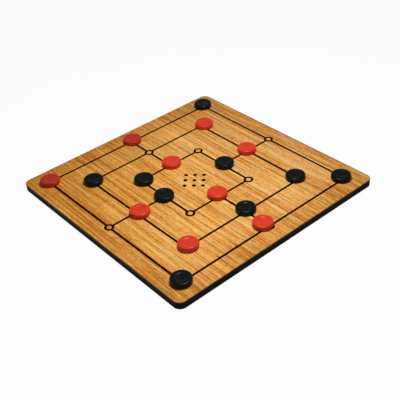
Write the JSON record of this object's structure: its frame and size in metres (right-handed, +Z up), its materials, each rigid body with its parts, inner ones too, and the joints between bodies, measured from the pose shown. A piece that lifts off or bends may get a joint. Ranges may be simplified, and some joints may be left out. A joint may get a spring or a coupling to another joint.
{
  "type": "nine men's morris board with men",
  "caption": "Flat square nine men's morris board with an engraved grid and rings, a dark edge, and loose dished disc men in red and black standing on its points.",
  "frame": {"origin": "centre of the board's underside, on the surface it lies on", "axes": "+Z up, through the board's thickness; X and Y along the board's sides, with the veneer's grain along X"},
  "size_m": [0.3, 0.3, 0.0155],
  "materials": {
    "veneer": "satin lacquered, fine straight grain",
    "core": "raw fibreboard",
    "edge": "satin black edge band",
    "backing": "matt black laminate",
    "ink": "dark brown-black filling",
    "black_men": "glossy moulded",
    "red_men": "glossy moulded"
  },
  "bodies": {
    "board": {"backing_sheet": "backing", "board_core": "core", "edge_band": "edge", "face_veneer": "veneer", "grid_ink": "ink", "lozenge_ink": "ink"},
    "black_man_1": {"black_man_1": "black_men"},
    "black_man_2": {"black_man_2": "black_men"},
    "black_man_3": {"black_man_3": "black_men"},
    "black_man_4": {"black_man_4": "black_men"},
    "black_man_5": {"black_man_5": "black_men"},
    "black_man_6": {"black_man_6": "black_men"},
    "black_man_7": {"black_man_7": "black_men"},
    "black_man_8": {"black_man_8": "black_men"},
    "black_man_9": {"black_man_9": "black_men"},
    "red_man_1": {"red_man_1": "red_men"},
    "red_man_2": {"red_man_2": "red_men"},
    "red_man_3": {"red_man_3": "red_men"},
    "red_man_4": {"red_man_4": "red_men"},
    "red_man_5": {"red_man_5": "red_men"},
    "red_man_6": {"red_man_6": "red_men"},
    "red_man_7": {"red_man_7": "red_men"},
    "red_man_8": {"red_man_8": "red_men"},
    "red_man_9": {"red_man_9": "red_men"}
  },
  "joints": [
    {"name": "black_man_1_lift", "type": "slide", "parent": "board", "child": "black_man_1", "axis": [0, 0, 1], "range_m": [0, 0.03]},
    {"name": "black_man_2_lift", "type": "slide", "parent": "board", "child": "black_man_2", "axis": [0, 0, 1], "range_m": [0, 0.03]},
    {"name": "black_man_3_lift", "type": "slide", "parent": "board", "child": "black_man_3", "axis": [0, 0, 1], "range_m": [0, 0.03]},
    {"name": "black_man_4_lift", "type": "slide", "parent": "board", "child": "black_man_4", "axis": [0, 0, 1], "range_m": [0, 0.03]},
    {"name": "black_man_5_lift", "type": "slide", "parent": "board", "child": "black_man_5", "axis": [0, 0, 1], "range_m": [0, 0.03]},
    {"name": "black_man_6_lift", "type": "slide", "parent": "board", "child": "black_man_6", "axis": [0, 0, 1], "range_m": [0, 0.03]},
    {"name": "black_man_7_lift", "type": "slide", "parent": "board", "child": "black_man_7", "axis": [0, 0, 1], "range_m": [0, 0.03]},
    {"name": "black_man_8_lift", "type": "slide", "parent": "board", "child": "black_man_8", "axis": [0, 0, 1], "range_m": [0, 0.03]},
    {"name": "black_man_9_lift", "type": "slide", "parent": "board", "child": "black_man_9", "axis": [0, 0, 1], "range_m": [0, 0.03]},
    {"name": "red_man_1_lift", "type": "slide", "parent": "board", "child": "red_man_1", "axis": [0, 0, 1], "range_m": [0, 0.03]},
    {"name": "red_man_2_lift", "type": "slide", "parent": "board", "child": "red_man_2", "axis": [0, 0, 1], "range_m": [0, 0.03]},
    {"name": "red_man_3_lift", "type": "slide", "parent": "board", "child": "red_man_3", "axis": [0, 0, 1], "range_m": [0, 0.03]},
    {"name": "red_man_4_lift", "type": "slide", "parent": "board", "child": "red_man_4", "axis": [0, 0, 1], "range_m": [0, 0.03]},
    {"name": "red_man_5_lift", "type": "slide", "parent": "board", "child": "red_man_5", "axis": [0, 0, 1], "range_m": [0, 0.03]},
    {"name": "red_man_6_lift", "type": "slide", "parent": "board", "child": "red_man_6", "axis": [0, 0, 1], "range_m": [0, 0.03]},
    {"name": "red_man_7_lift", "type": "slide", "parent": "board", "child": "red_man_7", "axis": [0, 0, 1], "range_m": [0, 0.03]},
    {"name": "red_man_8_lift", "type": "slide", "parent": "board", "child": "red_man_8", "axis": [0, 0, 1], "range_m": [0, 0.03]},
    {"name": "red_man_9_lift", "type": "slide", "parent": "board", "child": "red_man_9", "axis": [0, 0, 1], "range_m": [0, 0.03]}
  ]
}
